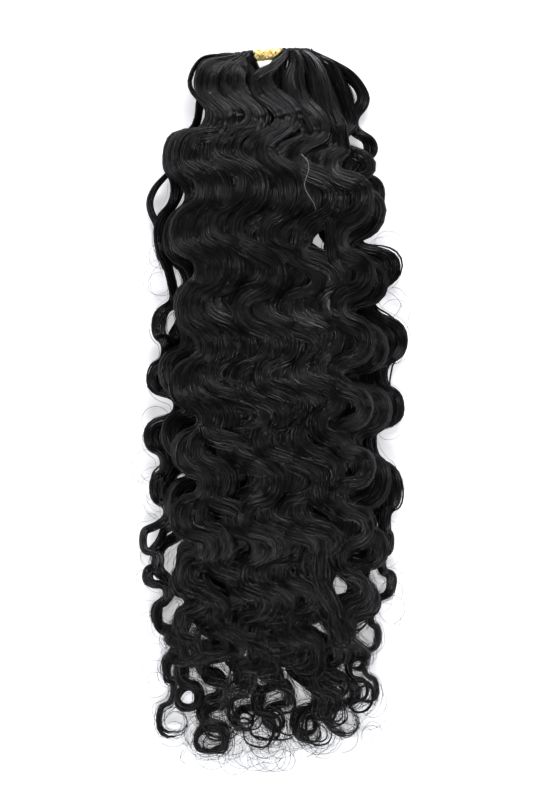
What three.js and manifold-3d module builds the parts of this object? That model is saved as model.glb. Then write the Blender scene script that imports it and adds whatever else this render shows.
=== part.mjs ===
// A pack of pre-looped crochet hair: deep-wave strands strung by their loops on a gold cord tie.
// Millimetres, +Z up. The pack lies on the plane Z = 0 with the tie at its +Y end, and the origin
// is on that plane under the middle of the pack.

import * as THREE from "three";
import { mergeVertices } from "three/addons/utils/BufferGeometryUtils.js";
import Module from "manifold-3d";

const wasm = await Module();
wasm.setup();

// Tie: a ring of cord with two runs, whose back run is wound in the middle
const TIE = { x: -1.6, y: 190.5, z: 7, tiltDeg: 8 };
const TIE_CORD_RADIUS = 0.9;
const TIE_RUN_OFFSET = 1.8;
const TIE_HALF_LENGTH = 24.5;
const WRAP_COUNT = 5;
const WRAP_PITCH = 3;
const WRAP_RADIUS = 1.45;
const WRAP_CORD_RADIUS = 0.65;
const WRAP_LEAN_DEG = 14;

// Crochet loop at the head of each strand: an oval of thin cord round both runs of the tie
const LOOP_WIRE_RADIUS = 0.5;
const LOOP_HALF_DEPTH = 3.6;
const LOOP_HALF_HEIGHT = 2.2;
const FIRST_LOOP_X = 9.2;
const LOOP_PITCH = 1.65;
const HEAD_CORD = 1.3;
const HEAD_HANDLE = 0.4;

// Layers: strands in one layer lie side by side, and each layer lies on the one below
const LAYER_GAP = 0.5;
const HEAD_STEPS = 6;
const CURL_STEPS = 6;
const DRIFT_START = -80;
const SETTLE_LENGTH = 16;
const LEAST_FOLD = 6;
const CURL_SHRINK = 0.72;
const TIP_WIDTH = 3;
const TIP_THICKNESS = 2.4;

// Where the pack swings to its left (-) and right (+) as a whole, a row for each fold
const SWAY_FOLDS = [
  { y: 157, sway: -3.5 },
  { y: 140, sway: 4.5 },
  { y: 126, sway: -5 },
  { y: 110, sway: 6 },
  { y: 88, sway: -7 },
  { y: 70, sway: 7 },
  { y: 51, sway: -7 },
  { y: 31, sway: 7 },
  { y: 13, sway: -7 },
  { y: -4, sway: 7 },
  { y: -20, sway: -7 },
  { y: -38, sway: 7 },
  { y: -57, sway: -6.5 },
  { y: -74, sway: 6.5 },
  { y: -89, sway: -6.5 },
  { y: -104, sway: 6 },
  { y: -117, sway: -6 },
  { y: -132, sway: 6 },
  { y: -144, sway: -6 },
  { y: -158, sway: 6 },
  { y: -171, sway: -5 },
];

// The two edge strands swing on their own: the folds of their centre lines
const LEFT_EDGE_FOLDS = [
  { y: 175, x: -41 },
  { y: 160, x: -37.5 },
  { y: 134, x: -54 },
  { y: 115, x: -48.5 },
  { y: 93, x: -58 },
  { y: 62, x: -49 },
  { y: 43, x: -60 },
  { y: 29, x: -53.5 },
  { y: 13, x: -61 },
  { y: -3, x: -47 },
  { y: -18, x: -63.5 },
  { y: -33, x: -54.5 },
  { y: -46, x: -60.5 },
  { y: -62, x: -52 },
  { y: -77, x: -66 },
  { y: -87, x: -59 },
  { y: -97, x: -65 },
  { y: -106, x: -53.5 },
  { y: -119, x: -59 },
  { y: -136, x: -47.6 },
  { y: -148, x: -54 },
  { y: -157, x: -51 },
  { y: -173, x: -62 },
];
const RIGHT_EDGE_FOLDS = [
  { y: 172, x: 50 },
  { y: 156, x: 42.5 },
  { y: 141, x: 53 },
  { y: 131, x: 46 },
  { y: 113, x: 56 },
  { y: 87, x: 42.5 },
  { y: 73, x: 64 },
  { y: 55, x: 52 },
  { y: 32, x: 68.5 },
  { y: 13, x: 58 },
  { y: -4, x: 66.5 },
  { y: -21, x: 51 },
  { y: -49, x: 65 },
  { y: -68, x: 59 },
  { y: -80, x: 61 },
  { y: -91, x: 57 },
  { y: -102, x: 64 },
  { y: -117, x: 52.5 },
  { y: -131, x: 58.5 },
  { y: -143, x: 51 },
  { y: -158, x: 59 },
];

// How the pack spreads, how full its locks are and how high one layer is, by distance along it
const PROFILE = [
  { y: 200, spread: 0.6, fullness: 0.6, layer: 4.2 },
  { y: 176, spread: 0.66, fullness: 0.64, layer: 5.6 },
  { y: 157, spread: 0.74, fullness: 0.68, layer: 7.5 },
  { y: 140, spread: 0.86, fullness: 0.82, layer: 9 },
  { y: 120, spread: 0.95, fullness: 0.93, layer: 10 },
  { y: 80, spread: 1, fullness: 1, layer: 10.5 },
  { y: -60, spread: 1, fullness: 1, layer: 10 },
  { y: -110, spread: 1, fullness: 0.8, layer: 8 },
  { y: -150, spread: 0.98, fullness: 0.42, layer: 6 },
  { y: -200, spread: 0.95, fullness: 0.4, layer: 5 },
];

// A lock's section as shares of its width and thickness: flat below, crowned above
const LOCK_SECTION = [
  { across: -0.4, up: 0 },
  { across: 0.4, up: 0 },
  { across: 0.5, up: 0.5 },
  { across: 0, up: 1 },
  { across: -0.5, up: 0.5 },
];

// Strands. loop counts the loops outward from the wound part of the tie, and leave is the angle at
// which the head cord leaves it, turned outward from straight down. lane is the strand's place across
// the pack, tailX and tailY are where its end curl begins, curl is that curl's radius, + turning
// right, and curled is how far it turns. The edge strands have folds of their own in place of a lane.
const STRAND_COLUMNS = [
  "name", "layer", "loop", "leave", "width", "lane", "tailX", "tailY", "curl", "curled",
];
const STRANDS = [
  ["strand_b1", 0, -7, 112, 14, null, null, null, 6.5, 270],
  ["strand_b2", 0, -4, 50, 17.5, -31, -40, -184, 7.5, 290],
  ["strand_b3", 0, -1, 6, 20, -10.5, -15, -178, 7, 270],
  ["strand_b4", 0, 3, 8, 20, 11.5, 29, -172, -7.5, 300],
  ["strand_b5", 0, 6, 45, 17.5, 32.5, 38.5, -174, 6, 250],
  ["strand_b6", 0, 9, 85, 14, null, null, null, -5, 240],
  ["strand_m1", 1, -6, 40, 21.5, -45, -52, -142, 6.5, 240],
  ["strand_m2", 1, -3, 30, 21.5, -22.5, -28, -165, 6, 240],
  ["strand_m3", 1, 1, -28, 21.5, 0, -7, -152, 6, 250],
  ["strand_m4", 1, 5, 26, 21.5, 22.5, 20, -140, 6, 230],
  ["strand_m5", 1, 8, 62, 21.5, 45, 50, -138, -6, 240],
  ["strand_t1", 2, -5, 44, 18, -38, -45, -108, 5.5, 230],
  ["strand_t2", 2, -2, 20, 18, -19, -22, -135, 5.5, 240],
  ["strand_t3", 2, 2, -22, 18, 0, -3, -124, 6, 230],
  ["strand_t4", 2, 4, 18, 18, 19, 19, -118, 5.5, 240],
  ["strand_t5", 2, 7, 50, 18, 38, 45, -108, -6, 230],
].map((row) => Object.fromEntries(STRAND_COLUMNS.map((column, place) => [column, row[place]])));
const EDGE_FOLDS = { strand_b1: LEFT_EDGE_FOLDS, strand_b6: RIGHT_EDGE_FOLDS };

// Sections from fold to fold: more on the strands whose waves show whole from above
const OPEN_STEPS = 3;
const COVERED_STEPS = 2;
const TOP_LAYER = 2;

// Finishes
const HAIR = { color: 0x17141a, roughness: 0.42, metalness: 0 };
const GOLD_CORD = { color: 0xe9b53c, roughness: 0.45, metalness: 0.15 };

// Closed geometry to solid and back, for joining pieces
function solidOf(geometry) {
  const bare = new THREE.BufferGeometry();
  bare.setAttribute("position", geometry.getAttribute("position"));
  bare.setIndex(geometry.getIndex());
  const merged = mergeVertices(bare, 1e-4);
  return new wasm.Manifold(
    new wasm.Mesh({
      numProp: 3,
      vertProperties: new Float32Array(merged.getAttribute("position").array),
      triVerts: new Uint32Array(merged.getIndex().array),
    }),
  );
}

function geometryOf(solid) {
  const mesh = solid.getMesh();
  const geometry = new THREE.BufferGeometry();
  geometry.setAttribute("position", new THREE.BufferAttribute(mesh.vertProperties, 3));
  geometry.setIndex(new THREE.BufferAttribute(mesh.triVerts, 1));
  geometry.computeVertexNormals();
  return geometry;
}

// Eases from 0 to 1 while the value goes from one end to the other, up or down
function smooth(from, to, value) {
  const share = THREE.MathUtils.clamp((value - from) / (to - from), 0, 1);
  return share * share * (3 - 2 * share);
}

// Value of a named column at y, from a table whose rows run down the pack
function along(table, column, y) {
  const below = table.findIndex((row) => row.y <= y);
  if (below === 0) return table[0][column];
  if (below < 0) return table.at(-1)[column];
  const [high, low] = [table[below - 1], table[below]];
  return THREE.MathUtils.mapLinear(y, high.y, low.y, high[column], low[column]);
}

// The same, swinging round like a wave from row to row
function swing(table, column, y) {
  const below = table.findIndex((row) => row.y <= y);
  if (below === 0) return table[0][column];
  if (below < 0) return table.at(-1)[column];
  const [high, low] = [table[below - 1], table[below]];
  const share = (1 - Math.cos((Math.PI * (high.y - y)) / (high.y - low.y))) / 2;
  return THREE.MathUtils.lerp(high[column], low[column], share);
}

// Joins rings of points, all of one length, into a closed skin with flat ends
function skin(rings) {
  const sides = rings[0].length;
  const positions = rings.flat().flatMap((p) => [p.x, p.y, p.z]);
  const index = [];
  for (let ring = 0; ring + 1 < rings.length; ring++) {
    for (let side = 0; side < sides; side++) {
      const a = ring * sides + side;
      const b = ring * sides + ((side + 1) % sides);
      index.push(a, b, a + sides, b, b + sides, a + sides);
    }
  }
  const last = (rings.length - 1) * sides;
  for (let side = 1; side + 1 < sides; side++) {
    index.push(0, side + 1, side, last, last + side, last + side + 1);
  }
  const geometry = new THREE.BufferGeometry();
  geometry.setAttribute("position", new THREE.Float32BufferAttribute(positions, 3));
  geometry.setIndex(index);
  return geometry;
}

// Place on the tie, in the part's frame, of a point given along and across the tie
function onTie(alongTie, acrossTie) {
  const tilt = THREE.MathUtils.degToRad(TIE.tiltDeg);
  return new THREE.Vector3(alongTie, acrossTie, 0)
    .applyAxisAngle(new THREE.Vector3(0, 0, 1), tilt)
    .add(new THREE.Vector3(TIE.x, TIE.y, TIE.z));
}

const loopPlace = (loop) => Math.sign(loop) * (FIRST_LOOP_X + (Math.abs(loop) - 1) * LOOP_PITCH);

// A strand's crochet loop, standing across the tie
function crochetLoop(strand) {
  const points = [];
  const corners = 10;
  for (let corner = 0; corner < corners; corner++) {
    const turn = (2 * Math.PI * corner) / corners;
    const point = onTie(loopPlace(strand.loop), LOOP_HALF_DEPTH * Math.cos(turn));
    point.z += LOOP_HALF_HEIGHT * Math.sin(turn);
    points.push(point);
  }
  const line = new THREE.CatmullRomCurve3(points, true);
  return new THREE.TubeGeometry(line, corners, LOOP_WIRE_RADIUS, 4, true);
}

// The shared folds that a strand takes part in, ending at its tail
function foldsTo(tailY) {
  const shared = SWAY_FOLDS.filter((fold) => fold.y > tailY + LEAST_FOLD);
  return [...shared, { y: tailY }];
}

// How a strand lies at each y: its centre line, the floor of its layer, and its lock's size
function layOf(strand) {
  const edge = EDGE_FOLDS[strand.name];
  const layerHeight = (y) => along(PROFILE, "layer", y);
  const centre = (y) => {
    if (edge) return swing(edge, "x", y);
    const lane = strand.lane * along(PROFILE, "spread", y);
    const drift = smooth(DRIFT_START, strand.tailY, y);
    const settle = smooth(strand.tailY, strand.tailY + SETTLE_LENGTH, y);
    return THREE.MathUtils.lerp(lane, strand.tailX, drift) + swing(SWAY_FOLDS, "sway", y) * settle;
  };
  return {
    centre,
    layerHeight,
    folds: edge ?? foldsTo(strand.tailY),
    steps: edge || strand.layer === TOP_LAYER ? OPEN_STEPS : COVERED_STEPS,
    layerFloor: (y) => strand.layer * (layerHeight(y) + LAYER_GAP),
    lockWidth: (y) => strand.width * along(PROFILE, "fullness", y),
  };
}

// Head: a thin cord leaves the loop, sinks or climbs to its layer and opens into the lock
function headStations(strand, lay) {
  const leave = THREE.MathUtils.degToRad(strand.leave);
  const away = new THREE.Vector3(Math.sign(strand.loop) * Math.sin(leave), -Math.cos(leave), 0);
  const start = onTie(loopPlace(strand.loop), -LOOP_HALF_DEPTH).setZ(0);
  const end = new THREE.Vector3(lay.centre(lay.folds[0].y), lay.folds[0].y, 0);
  const handle = start.distanceTo(end) * HEAD_HANDLE;
  const line = new THREE.CubicBezierCurve3(
    start,
    start.clone().addScaledVector(away, handle),
    end.clone().add(new THREE.Vector3(0, handle, 0)),
    end,
  );
  const stations = [];
  for (let step = 0; step < HEAD_STEPS; step++) {
    const share = step / HEAD_STEPS;
    const { x, y } = line.getPoint(share);
    const open = smooth(0.15, 1.1, share);
    const width = THREE.MathUtils.lerp(HEAD_CORD, lay.lockWidth(end.y), open);
    const thickness = THREE.MathUtils.lerp(HEAD_CORD, lay.layerHeight(end.y), open);
    const layerMiddle = lay.layerFloor(y) + lay.layerHeight(y) / 2;
    const middle = THREE.MathUtils.lerp(TIE.z, layerMiddle, smooth(0, 0.3, share));
    const z = Math.max(middle - thickness / 2, 0);
    stations.push({ x, y, z, heading: line.getTangent(share), width, thickness });
  }
  return stations;
}

// Body: the lock swings from fold to fold, with its section kept across the pack
function bodyStations(lay) {
  const heading = new THREE.Vector3(0, -1, 0);
  const stations = [];
  for (let fold = 0; fold + 1 < lay.folds.length; fold++) {
    for (let step = 0; step < lay.steps; step++) {
      const share = (step + 0.5) / lay.steps;
      const y = THREE.MathUtils.lerp(lay.folds[fold].y, lay.folds[fold + 1].y, share);
      const [width, thickness] = [lay.lockWidth(y), lay.layerHeight(y)];
      stations.push({ x: lay.centre(y), y, z: lay.layerFloor(y), heading, width, thickness });
    }
  }
  return stations;
}

// Curl: the end turns round on itself and thins out
function curlStations(strand, lay) {
  const tailY = lay.folds.at(-1).y;
  const tailX = lay.centre(tailY);
  const side = Math.sign(strand.curl);
  const stations = [];
  for (let step = 0; step <= CURL_STEPS; step++) {
    const share = step / CURL_STEPS;
    const turn = THREE.MathUtils.degToRad(strand.curled) * share;
    const radius = Math.abs(strand.curl) * THREE.MathUtils.lerp(1, CURL_SHRINK, share);
    stations.push({
      x: tailX + strand.curl - side * radius * Math.cos(turn),
      y: tailY - radius * Math.sin(turn),
      z: lay.layerFloor(tailY),
      heading: new THREE.Vector3(side * Math.sin(turn), -Math.cos(turn), 0),
      width: THREE.MathUtils.lerp(lay.lockWidth(tailY), TIP_WIDTH, share),
      thickness: THREE.MathUtils.lerp(lay.layerHeight(tailY), TIP_THICKNESS, share),
    });
  }
  return stations;
}

// A station's section, square to its heading
function sectionAt(station) {
  const side = new THREE.Vector3(-station.heading.y, station.heading.x, 0).normalize();
  return LOCK_SECTION.map(({ across, up }) =>
    new THREE.Vector3(station.x, station.y, station.z + up * station.thickness).addScaledVector(
      side,
      across * station.width,
    ),
  );
}

// A strand: its loop, head cord, lock and curl in one piece
function strandMesh(strand) {
  const lay = layOf(strand);
  const stations = [...headStations(strand, lay), ...bodyStations(lay), ...curlStations(strand, lay)];
  const lock = solidOf(skin(stations.map(sectionAt)));
  const whole = lock.add(solidOf(crochetLoop(strand)));
  const mesh = new THREE.Mesh(geometryOf(whole), new THREE.MeshStandardMaterial(HAIR));
  mesh.name = strand.name;
  return mesh;
}

// The tie in its own frame: the ring lies flat, and the wraps go round its back run
function tieMesh() {
  const bend = TIE_HALF_LENGTH - TIE_RUN_OFFSET;
  const points = [];
  for (const end of [1, -1]) {
    for (const share of [-0.5, 0, 0.5]) {
      points.push(new THREE.Vector3(end * share * bend, -end * TIE_RUN_OFFSET, 0));
    }
    for (const turnDeg of [-90, -30, 30, 90]) {
      const turn = THREE.MathUtils.degToRad(turnDeg);
      const reach = bend + TIE_RUN_OFFSET * Math.cos(turn);
      points.push(new THREE.Vector3(end * reach, end * TIE_RUN_OFFSET * Math.sin(turn), 0));
    }
  }
  const line = new THREE.CatmullRomCurve3(points, true, "centripetal");
  const ring = new THREE.TubeGeometry(line, 30, TIE_CORD_RADIUS, 6, true);
  let whole = solidOf(ring);
  for (let wrap = 0; wrap < WRAP_COUNT; wrap++) {
    const turnOfCord = new THREE.TorusGeometry(WRAP_RADIUS, WRAP_CORD_RADIUS, 4, 8);
    turnOfCord.rotateY(Math.PI / 2 + THREE.MathUtils.degToRad(WRAP_LEAN_DEG));
    turnOfCord.translate((wrap - (WRAP_COUNT - 1) / 2) * WRAP_PITCH, TIE_RUN_OFFSET, 0);
    whole = whole.add(solidOf(turnOfCord));
  }
  const mesh = new THREE.Mesh(geometryOf(whole), new THREE.MeshStandardMaterial(GOLD_CORD));
  mesh.name = "tie";
  return mesh;
}

const pack = new THREE.Group();
const tiePlace = new THREE.Group();
tiePlace.position.set(TIE.x, TIE.y, TIE.z);
tiePlace.rotation.z = THREE.MathUtils.degToRad(TIE.tiltDeg);
tiePlace.add(tieMesh());
pack.add(tiePlace, ...STRANDS.map(strandMesh));

// The origin goes under the middle of the pack's outline
const outline = new THREE.Box3().setFromObject(pack);
const middle = outline.getCenter(new THREE.Vector3());
pack.position.set(-middle.x, -middle.y, 0);

export default pack;
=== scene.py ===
# %% [markdown]
# A pack of pre-looped crochet hair lies flat on a white surface, seen from straight above. Its strands
# hang by small loops on a gold cord tie, fan out, run down in deep waves and end in ring curls. Each is
# built as a family of combed locks with fibres on them, and takes the place of a plain solid of the frame.

# %% Load the frame
import math
from collections import namedtuple
from types import SimpleNamespace

import bpy
import numpy as np
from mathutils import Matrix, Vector


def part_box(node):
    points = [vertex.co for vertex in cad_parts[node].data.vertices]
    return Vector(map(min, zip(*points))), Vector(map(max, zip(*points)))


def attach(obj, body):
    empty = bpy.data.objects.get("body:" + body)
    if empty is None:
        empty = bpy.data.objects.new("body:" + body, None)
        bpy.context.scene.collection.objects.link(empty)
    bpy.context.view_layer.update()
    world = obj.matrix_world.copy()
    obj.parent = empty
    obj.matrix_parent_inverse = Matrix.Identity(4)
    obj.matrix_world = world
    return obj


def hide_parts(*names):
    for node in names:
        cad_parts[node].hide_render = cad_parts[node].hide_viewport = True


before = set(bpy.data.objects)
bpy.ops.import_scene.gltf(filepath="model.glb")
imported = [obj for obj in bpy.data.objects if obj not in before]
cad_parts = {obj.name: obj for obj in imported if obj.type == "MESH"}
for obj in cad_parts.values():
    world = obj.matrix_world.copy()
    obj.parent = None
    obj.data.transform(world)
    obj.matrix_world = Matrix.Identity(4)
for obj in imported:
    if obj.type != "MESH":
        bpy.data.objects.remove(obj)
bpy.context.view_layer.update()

# %% [markdown]
# Sizes are in millimetres, as a maker would measure the pack, and go to metres at the end. The frame's
# origin is under the middle of the outline. The tie's own box tells where that is, so the tables can keep
# the numbers read along and across the pack. The tie lies at a slight tilt, and its two ends droop.

# %% Millimetres, and where the tie sits
MM = 0.001
SEED = 18
TIE = SimpleNamespace(x=-1.6, y=190.5, z=7.0, tilt=math.radians(3.8), droop=1.6, half=24.5)
tie_low, tie_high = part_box("tie")
SHIFT = np.array([
    (tie_low.x + tie_high.x) / 2 / MM - TIE.x, (tie_low.y + tie_high.y) / 2 / MM - TIE.y, 0.0,
])
rng = np.random.default_rng(SEED)
scene = bpy.context.scene
print("shift of the tables, mm", SHIFT.round(2))

# %% [markdown]
# The picture is taken from straight above with a long lens, so that the top and the bottom of the pile
# keep nearly the same scale. The height follows from the length of table that the picture takes in.

# %% Camera
PICTURE_HEIGHT_PX = 800
MM_PER_PX = 0.55
PICTURE_MIDDLE = np.array([-2.75, 0.3])
SCALE_HEIGHT = 12.0
LENS, SENSOR = 100.0, 36.0
camera_data = bpy.data.cameras.new("overhead_camera")
camera_data.lens = LENS
camera_data.sensor_width = SENSOR
camera = bpy.data.objects.new("overhead_camera", camera_data)
camera_height = SCALE_HEIGHT + PICTURE_HEIGHT_PX * MM_PER_PX * LENS / SENSOR
camera.location = (*(PICTURE_MIDDLE + SHIFT[:2]) * MM, camera_height * MM)
scene.collection.objects.link(camera)
scene.camera = camera
print("camera height, m", round(camera_height * MM, 3))

# %% [markdown]
# The table has to come out white without washing out the black hair. Light from straight above would
# shine back from every flat lock, so it comes from windows all round, low enough that only the slopes of
# the waves send it up to the camera. The strongest, beyond the tie, gives each wave its one band of shine.

# %% Light
WINDOWS = (
    # name, place in m, size in m, watts
    ("window_beyond_tie", (0.1, 1.2, 0.68), (0.8, 0.35), 16.2),
    ("window_left", (-1.05, 0.1, 0.72), (0.3, 0.8), 5.5),
    ("window_right", (1.05, 0.0, 0.72), (0.3, 0.8), 5.1),
    ("window_below_curls", (0.0, -1.1, 0.72), (0.8, 0.3), 10.8),
)
WINDOW_COLOUR = (0.95, 0.96, 1.0)
ROOM_COLOUR, ROOM_STRENGTH = (0.93, 0.93, 1.0, 1.0), 0.07
scene.view_settings.view_transform = "Standard"
world = bpy.data.worlds.new("dim_room")
world.use_nodes = True
world.node_tree.nodes["Background"].inputs["Color"].default_value = ROOM_COLOUR
world.node_tree.nodes["Background"].inputs["Strength"].default_value = ROOM_STRENGTH
scene.world = world
for name, place, size, watts in WINDOWS:
    data = bpy.data.lights.new(name, "AREA")
    data.shape = "RECTANGLE"
    data.size, data.size_y = size
    data.energy = watts
    data.color = WINDOW_COLOUR
    light = bpy.data.objects.new(name, data)
    light.location = place
    light.rotation_euler = (-Vector(place)).to_track_quat("-Z", "Y").to_euler()
    scene.collection.objects.link(light)
print("windows", len(WINDOWS), "watts in all", sum(row[3] for row in WINDOWS))

# %% [markdown]
# Every finish and tree below is made of nodes. One function adds a node with its settings, its inputs, as
# values or as what they are linked to, and the stops of a colour ramp.


# %% Colours and nodes
def linear(hex_colour):
    """An sRGB hex colour as linear RGBA."""
    parts = [int(hex_colour[i:i + 2], 16) / 255 for i in (1, 3, 5)]
    return tuple(c / 12.92 if c <= 0.04045 else ((c + 0.055) / 1.055) ** 2.4 for c in parts) + (1.0,)


def add(tree, kind, inputs=(), stops=(), **settings):
    """A new node. An input, by name or in turn, is a value, a socket, or a node for its first output."""
    node = tree.nodes.new(kind)
    for name, value in settings.items():
        setattr(node, name, value)
    for name, value in inputs.items() if isinstance(inputs, dict) else enumerate(inputs):
        if isinstance(value, bpy.types.Node):
            value = value.outputs[0]
        if isinstance(value, bpy.types.NodeSocket):
            tree.links.new(value, node.inputs[name])
        else:
            node.inputs[name].default_value = value
    for k, (position, colour) in enumerate(stops):
        elements = node.color_ramp.elements
        element = elements[k] if k < len(elements) else elements.new(1.0)
        element.position = position
        element.color = linear(colour)
    return node


def new_material(name):
    """An empty node material and its tree."""
    material = bpy.data.materials.new(name)
    material.use_nodes = True
    material.node_tree.nodes.clear()
    return material, material.node_tree


WHITE = linear("#ffffff")
print("white as linear light", WHITE[:3])

# %% [markdown]
# The surface under the hair is plain and white. It is a stage, not part of the object. A little light of
# its own keeps it white right up to the hair, and grey in the gaps.

# %% White table
TABLE_HALF, TABLE_Z = 3.0, -0.0002
table_material, tree = new_material("white_table_board")
place = add(tree, "ShaderNodeTexCoord").outputs["Object"]
grain = add(tree, "ShaderNodeTexNoise", {"Vector": place, "Scale": 9.0, "Detail": 3.0}).outputs["Fac"]
tint = add(tree, "ShaderNodeValToRGB", {"Fac": grain}, stops=((0.0, "#f8f8fc"), (1.0, "#fefeff")))
board = add(tree, "ShaderNodeBsdfPrincipled", {
    "Base Color": tint, "Roughness": 0.9, "Specular IOR Level": 0.1, "Emission Color": WHITE,
    "Emission Strength": 0.45,
})
add(tree, "ShaderNodeOutputMaterial", {"Surface": board})
corners = [(x * TABLE_HALF, y * TABLE_HALF, TABLE_Z) for x, y in ((-1, -1), (1, -1), (1, 1), (-1, 1))]
table_mesh = bpy.data.meshes.new("white_table")
table_mesh.from_pydata(corners, [], [(0, 1, 2, 3)])
table_mesh.materials.append(table_material)
table = bpy.data.objects.new("white_table", table_mesh)
scene.collection.objects.link(table)
print("table, m", tuple(round(v, 2) for v in table.dimensions))

# %% [markdown]
# The hair is natural black synthetic fibre: nearly black, with a cool shine along the fibres and a warm
# brown where single ones are thin. A combed lock carries fine streaks along it, drawn from its own UV map
# in millimetres along the lock and round it. Real fibres are under 0.1 mm thick. The streaks are drawn
# 0.9 mm wide, about ten times coarser, because finer ones wouldn't show.

# %% Combed lock finish
STREAKS_PER_MM = (0.01, 1.1, 1.0)


def combed_hair():
    """Black hair combed into a lock: streaks in colour, shine and relief along the fibres."""
    material, tree = new_material("black_hair_combed_lock")
    uv = add(tree, "ShaderNodeUVMap", uv_map="along_fibre")
    fine = add(tree, "ShaderNodeMapping", {"Vector": uv, "Scale": STREAKS_PER_MM})
    streak = add(tree, "ShaderNodeTexNoise", {
        "Vector": fine, "Scale": 1.0, "Detail": 4.0, "Roughness": 0.7, "Distortion": 0.2,
    }).outputs["Fac"]
    tone = add(tree, "ShaderNodeAttribute", attribute_name="tone").outputs["Fac"]
    blend = add(tree, "ShaderNodeMath", (streak, tone), operation="MULTIPLY")
    stops = ((0.1, "#050405"), (0.6, "#0f0c0d"), (0.85, "#231c1b"))
    shine = add(tree, "ShaderNodeMapRange", {
        "Value": streak, "From Min": 0.3, "From Max": 0.7, "To Min": 0.18, "To Max": 0.42,
    })
    skin = add(tree, "ShaderNodeBsdfPrincipled", {
        "Base Color": add(tree, "ShaderNodeValToRGB", {"Fac": blend}, stops=stops),
        "Roughness": shine, "Specular IOR Level": 0.2,
        "Normal": add(tree, "ShaderNodeBump", {"Height": streak, "Strength": 0.9, "Distance": 0.0008}),
    })
    add(tree, "ShaderNodeOutputMaterial", {"Surface": skin})
    return material


COMBED_HAIR = combed_hair()
print("lock finish", COMBED_HAIR.name)

# %% [markdown]
# A single fibre only needs its own tone, which is stored on it. It shines more than the lock under it,
# because nothing shades it, and its shine wanders every 5 to 6 mm, where its surface has rubbed dull.


# %% Single fibre finish
def fibre_hair(name, stops):
    """Hair as single fibres: each keeps one tone along its length, and its shine wanders a little."""
    material, tree = new_material(name)
    tone = add(tree, "ShaderNodeAttribute", attribute_name="tone").outputs["Fac"]
    place = add(tree, "ShaderNodeTexCoord").outputs["Object"]
    dull = add(tree, "ShaderNodeTexNoise", {"Vector": place, "Scale": 180.0, "Detail": 1.0}).outputs["Fac"]
    skin = add(tree, "ShaderNodeBsdfPrincipled", {
        "Base Color": add(tree, "ShaderNodeValToRGB", {"Fac": tone}, stops=stops),
        "Roughness": add(tree, "ShaderNodeMapRange", {"Value": dull, "To Min": 0.12, "To Max": 0.3}),
        "Specular IOR Level": 0.62,
    })
    add(tree, "ShaderNodeOutputMaterial", {"Surface": skin})
    return material


FIBRE_HAIR = fibre_hair("black_hair_single_fibre", (
    (0.0, "#040304"), (0.5, "#0a0809"), (0.8, "#141112"), (0.95, "#211c1b"), (1.0, "#2c2624"),
))
print("fibre finish", FIBRE_HAIR.name)

# %% [markdown]
# The waves come from setting the hair round rods, so the whole pack swings left and right together. The
# table of folds says where each swing ends, from the tie down to the tips. The strands on top, and two on
# the left, begin higher up and with longer swings. The locks at the pack's two edges stand free, and have
# tables of their own.

# %% Folds of the pack, and of its two edges
FOLD_Y = np.array([
    172, 157, 140, 126, 110, 88, 70, 51, 31, 13, -4, -20, -38, -57, -74, -89, -104, -117, -132, -144, -158,
    -171, -184, -197,
], float)
FOLD_SWAY = np.array([
    4, 7.5, 8.5, 9, 9, 9.5, 9.5, 9.5, 9.5, 9.5, 9.5, 9.5, 9, 9, 8.5, 8, 8, 7.5, 7.5, 7, 7, 7, 6.5, 6.5,
])
LEFT_Y = np.array([
    175, 160, 134, 115, 93, 62, 43, 29, 13, -1, -18, -33, -46, -62, -77, -87, -97, -106, -119, -136, -148,
    -157, -173,
], float)
LEFT_X = np.array([
    -36, -37.5, -54, -48.5, -58, -47.5, -59, -53.5, -61, -47, -63.5, -54.5, -60.5, -52, -66, -59, -65,
    -53.5, -59, -47.6, -53, -49, -57,
])
RIGHT_Y = np.array([
    172, 156, 141, 131, 113, 89.5, 73, 53.5, 32, 13, -5.5, -22, -49, -68, -80, -91, -102, -117, -131, -143,
    -158,
], float)
RIGHT_X = np.array([
    50, 42.5, 53, 46, 56, 42.5, 64, 50, 68, 57, 66.5, 51, 65, 59, 61, 57, 64, 52.5, 58.5, 51, 59,
])
TOP_FOLD_Y = np.concatenate([[176, 156, 137, 115, 90], FOLD_Y[6:]])
TOP_PACK = ("strand_b2", "strand_m1", "strand_t1", "strand_t2", "strand_t3", "strand_t4", "strand_t5")
print("folds", len(FOLD_Y), "left edge", len(LEFT_Y), "right edge", len(RIGHT_Y))

# %% [markdown]
# Down the pack the strands spread, fill out and thin again. The profile says how much at each height, and
# how deep each of the three layers of strands is. One strand near the right edge is fuller or leaner than
# the rest in places, and has a row of its own.

# %% Profile of the pack
PROFILE_Y = (200, 176, 157, 140, 120, 80, -60, -110, -150, -200)
SPREAD = (0.6, 0.84, 0.8, 0.88, 0.96, 1, 1, 1, 0.98, 0.95)
PACK_SHIFT = (0, -3, 3, 1, 0, 0, 0, 0, 0, 0)
FULLNESS = (0.6, 0.64, 0.7, 0.84, 0.95, 1, 1, 0.9, 0.8, 0.75)
LAYER = (4.2, 5.6, 7.5, 9, 10, 10.5, 10, 8, 6, 5)
LAYER_GAP = 0.5
FILL = {"strand_m5": (
    (112, 90, 72, 56, 38, 16, -40, -56, -72), (0.0, -0.24, -0.05, -0.2, 0.0, 0.14, 0.1, 0.34, 0.0),
)}


def along(rows, values, y):
    """A column of a table whose rows run down the pack, at y."""
    return np.interp(-np.asarray(y, float), -np.asarray(rows, float), values)


def ease(start, stop, value):
    """0 before start, 1 after stop, and a smooth rise between."""
    share = np.clip((value - start) / (stop - start), 0, 1)
    return share * share * (3 - 2 * share)


def hump(low, rise, fall, high, value):
    """0 outside low and high, 1 between rise and fall, and smooth between."""
    return ease(low, rise, value) * ease(high, fall, value)


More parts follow.
